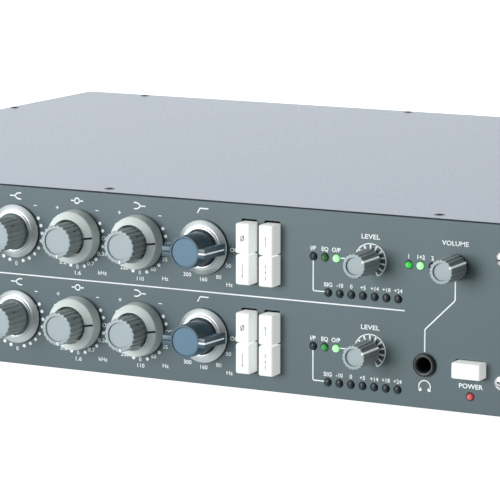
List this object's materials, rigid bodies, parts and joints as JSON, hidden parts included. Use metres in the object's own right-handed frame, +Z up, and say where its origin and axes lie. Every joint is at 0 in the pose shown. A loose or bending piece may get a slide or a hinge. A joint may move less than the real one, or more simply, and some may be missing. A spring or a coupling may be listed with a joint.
{
  "type": "microphone preamp",
  "caption": "Rack-mounted two-channel microphone preamp with equaliser: grey case, rotary knobs, white push buttons, meter lamps and a headphone outlet.",
  "frame": {"origin": "centre of the case's underside", "axes": "+X to the right along the front panel, +Y towards the back, +Z up"},
  "size_m": [0.4826, 0.3831, 0.0881],
  "materials": {
    "panel": "satin grey-blue paint with white lettering",
    "cover": "satin grey-blue paint",
    "zinc": "bright zinc-plated sheet",
    "grey_knob": "pale grey moulded plastic",
    "ring_knob": "pale grey moulded plastic with a black marker",
    "blue_knob": "blue moulded plastic with a white pointer line",
    "red_knob": "red moulded plastic with a white pointer line",
    "skirt": "spun satin aluminium",
    "button": "white moulded plastic",
    "circuit_board": "green circuit board",
    "lamp": "tinted LED lenses on a board",
    "core": "varnished laminations and winding tape",
    "socket": "black moulded plastic",
    "lettering": "white screen-printed ink",
    "fastener": "plated steel screws",
    "black_screw": "black oxide screws"
  },
  "bodies": {
    "root": {"front_panel": "panel", "top_cover": "cover", "chassis_tray": "zinc", "rear_panel": "zinc", "control_board_1": "circuit_board", "meter_board_1": "lamp", "input_transformer_1": "core", "output_transformer_1": "core", "combo_socket_1": "socket", "mic_input_1": "socket", "line_input_1": "socket", "line_output_1": "socket", "control_board_2": "circuit_board", "meter_board_2": "lamp", "input_transformer_2": "core", "output_transformer_2": "core", "combo_socket_2": "socket", "mic_input_2": "socket", "line_input_2": "socket", "line_output_2": "socket", "main_board": "circuit_board", "power_supply_board": "circuit_board", "power_switch": "lamp", "mains_transformer": "core", "iec_inlet": "socket", "headphone_jack": "socket"},
    "gain_knob_1": {"gain_knob_1": "red_knob"},
    "trim_knob_1": {"trim_knob_1": "grey_knob"},
    "hf_knob_1": {"hf_knob_1": "grey_knob"},
    "mid_gain_knob_1": {"mid_gain_knob_1": "grey_knob"},
    "mid_frequency_ring_1": {"mid_frequency_ring_1": "ring_knob"},
    "low_gain_knob_1": {"low_gain_knob_1": "grey_knob"},
    "low_frequency_ring_1": {"low_frequency_ring_1": "ring_knob"},
    "hpf_knob_1": {"hpf_knob_1": "blue_knob"},
    "level_knob_1": {"level_knob_1": "grey_knob"},
    "button_left_upper_1": {"button_left_upper_1": "button"},
    "button_left_lower_1": {"button_left_lower_1": "button"},
    "button_a_upper_1": {"button_a_upper_1": "button"},
    "button_a_lower_1": {"button_a_lower_1": "button"},
    "button_b_upper_1": {"button_b_upper_1": "button"},
    "button_b_lower_1": {"button_b_lower_1": "button"},
    "gain_knob_2": {"gain_knob_2": "red_knob"},
    "trim_knob_2": {"trim_knob_2": "grey_knob"},
    "hf_knob_2": {"hf_knob_2": "grey_knob"},
    "mid_gain_knob_2": {"mid_gain_knob_2": "grey_knob"},
    "mid_frequency_ring_2": {"mid_frequency_ring_2": "ring_knob"},
    "low_gain_knob_2": {"low_gain_knob_2": "grey_knob"},
    "low_frequency_ring_2": {"low_frequency_ring_2": "ring_knob"},
    "hpf_knob_2": {"hpf_knob_2": "blue_knob"},
    "level_knob_2": {"level_knob_2": "grey_knob"},
    "button_left_upper_2": {"button_left_upper_2": "button"},
    "button_left_lower_2": {"button_left_lower_2": "button"},
    "button_a_upper_2": {"button_a_upper_2": "button"},
    "button_a_lower_2": {"button_a_lower_2": "button"},
    "button_b_upper_2": {"button_b_upper_2": "button"},
    "button_b_lower_2": {"button_b_lower_2": "button"},
    "volume_knob": {"volume_knob": "grey_knob"},
    "power_button": {"power_button": "button"}
  },
  "joints": [
    {"name": "gain_knob_1_turn", "type": "hinge", "parent": "root", "child": "gain_knob_1", "pos_m": [-0.122, -0.181, 0.066], "axis": [0, 1, 0], "range_deg": [-150, 150]},
    {"name": "trim_knob_1_turn", "type": "hinge", "parent": "root", "child": "trim_knob_1", "pos_m": [-0.083, -0.181, 0.0664], "axis": [0, 1, 0], "range_deg": [-215, 85]},
    {"name": "hf_knob_1_turn", "type": "hinge", "parent": "root", "child": "hf_knob_1", "pos_m": [-0.04331, -0.181, 0.066], "axis": [0, 1, 0], "range_deg": [-140, 140]},
    {"name": "mid_gain_knob_1_turn", "type": "hinge", "parent": "root", "child": "mid_gain_knob_1", "pos_m": [-0.00873, -0.181, 0.066], "axis": [0, 1, 0], "range_deg": [-140, 140]},
    {"name": "mid_frequency_ring_1_turn", "type": "hinge", "parent": "root", "child": "mid_frequency_ring_1", "pos_m": [-0.00873, -0.181, 0.066], "axis": [0, 1, 0], "range_deg": [0, 180]},
    {"name": "low_gain_knob_1_turn", "type": "hinge", "parent": "root", "child": "low_gain_knob_1", "pos_m": [0.02585, -0.181, 0.066], "axis": [0, 1, 0], "range_deg": [-140, 140]},
    {"name": "low_frequency_ring_1_turn", "type": "hinge", "parent": "root", "child": "low_frequency_ring_1", "pos_m": [0.02585, -0.181, 0.066], "axis": [0, 1, 0], "range_deg": [0, 120]},
    {"name": "hpf_knob_1_turn", "type": "hinge", "parent": "root", "child": "hpf_knob_1", "pos_m": [0.06043, -0.181, 0.066], "axis": [0, 1, 0], "range_deg": [0, 120]},
    {"name": "level_knob_1_turn", "type": "hinge", "parent": "root", "child": "level_knob_1", "pos_m": [0.1475, -0.181, 0.0664], "axis": [0, 1, 0], "range_deg": [-215, 85]},
    {"name": "button_left_upper_1_press", "type": "slide", "parent": "root", "child": "button_left_upper_1", "axis": [0, 1, 0], "range_m": [0, 0.003], "stiffness_N_per_m": 300, "springref_m": -0.001},
    {"name": "button_left_lower_1_press", "type": "slide", "parent": "root", "child": "button_left_lower_1", "axis": [0, 1, 0], "range_m": [0, 0.003], "stiffness_N_per_m": 300, "springref_m": -0.001},
    {"name": "button_a_upper_1_press", "type": "slide", "parent": "root", "child": "button_a_upper_1", "axis": [0, 1, 0], "range_m": [0, 0.003], "stiffness_N_per_m": 300, "springref_m": -0.001},
    {"name": "button_a_lower_1_press", "type": "slide", "parent": "root", "child": "button_a_lower_1", "axis": [0, 1, 0], "range_m": [0, 0.003], "stiffness_N_per_m": 300, "springref_m": -0.001},
    {"name": "button_b_upper_1_press", "type": "slide", "parent": "root", "child": "button_b_upper_1", "axis": [0, 1, 0], "range_m": [0, 0.003], "stiffness_N_per_m": 300, "springref_m": -0.001},
    {"name": "button_b_lower_1_press", "type": "slide", "parent": "root", "child": "button_b_lower_1", "axis": [0, 1, 0], "range_m": [0, 0.003], "stiffness_N_per_m": 300, "springref_m": -0.001},
    {"name": "gain_knob_2_turn", "type": "hinge", "parent": "root", "child": "gain_knob_2", "pos_m": [-0.122, -0.181, 0.02373], "axis": [0, 1, 0], "range_deg": [-150, 150]},
    {"name": "trim_knob_2_turn", "type": "hinge", "parent": "root", "child": "trim_knob_2", "pos_m": [-0.083, -0.181, 0.02413], "axis": [0, 1, 0], "range_deg": [-215, 85]},
    {"name": "hf_knob_2_turn", "type": "hinge", "parent": "root", "child": "hf_knob_2", "pos_m": [-0.04331, -0.181, 0.02373], "axis": [0, 1, 0], "range_deg": [-140, 140]},
    {"name": "mid_gain_knob_2_turn", "type": "hinge", "parent": "root", "child": "mid_gain_knob_2", "pos_m": [-0.00873, -0.181, 0.02373], "axis": [0, 1, 0], "range_deg": [-140, 140]},
    {"name": "mid_frequency_ring_2_turn", "type": "hinge", "parent": "root", "child": "mid_frequency_ring_2", "pos_m": [-0.00873, -0.181, 0.02373], "axis": [0, 1, 0], "range_deg": [0, 180]},
    {"name": "low_gain_knob_2_turn", "type": "hinge", "parent": "root", "child": "low_gain_knob_2", "pos_m": [0.02585, -0.181, 0.02373], "axis": [0, 1, 0], "range_deg": [-140, 140]},
    {"name": "low_frequency_ring_2_turn", "type": "hinge", "parent": "root", "child": "low_frequency_ring_2", "pos_m": [0.02585, -0.181, 0.02373], "axis": [0, 1, 0], "range_deg": [0, 120]},
    {"name": "hpf_knob_2_turn", "type": "hinge", "parent": "root", "child": "hpf_knob_2", "pos_m": [0.06043, -0.181, 0.02373], "axis": [0, 1, 0], "range_deg": [0, 120]},
    {"name": "level_knob_2_turn", "type": "hinge", "parent": "root", "child": "level_knob_2", "pos_m": [0.1475, -0.181, 0.02413], "axis": [0, 1, 0], "range_deg": [-215, 85]},
    {"name": "button_left_upper_2_press", "type": "slide", "parent": "root", "child": "button_left_upper_2", "axis": [0, 1, 0], "range_m": [0, 0.003], "stiffness_N_per_m": 300, "springref_m": -0.001},
    {"name": "button_left_lower_2_press", "type": "slide", "parent": "root", "child": "button_left_lower_2", "axis": [0, 1, 0], "range_m": [0, 0.003], "stiffness_N_per_m": 300, "springref_m": -0.001},
    {"name": "button_a_upper_2_press", "type": "slide", "parent": "root", "child": "button_a_upper_2", "axis": [0, 1, 0], "range_m": [0, 0.003], "stiffness_N_per_m": 300, "springref_m": -0.001},
    {"name": "button_a_lower_2_press", "type": "slide", "parent": "root", "child": "button_a_lower_2", "axis": [0, 1, 0], "range_m": [0, 0.003], "stiffness_N_per_m": 300, "springref_m": -0.001},
    {"name": "button_b_upper_2_press", "type": "slide", "parent": "root", "child": "button_b_upper_2", "axis": [0, 1, 0], "range_m": [0, 0.003], "stiffness_N_per_m": 300, "springref_m": -0.001},
    {"name": "button_b_lower_2_press", "type": "slide", "parent": "root", "child": "button_b_lower_2", "axis": [0, 1, 0], "range_m": [0, 0.003], "stiffness_N_per_m": 300, "springref_m": -0.001},
    {"name": "volume_knob_turn", "type": "hinge", "parent": "root", "child": "volume_knob", "pos_m": [0.1901, -0.181, 0.06695], "axis": [0, 1, 0], "range_deg": [-215, 85]},
    {"name": "power_button_press", "type": "slide", "parent": "root", "child": "power_button", "axis": [0, 1, 0], "range_m": [0, 0.003], "stiffness_N_per_m": 300, "springref_m": -0.001}
  ]
}
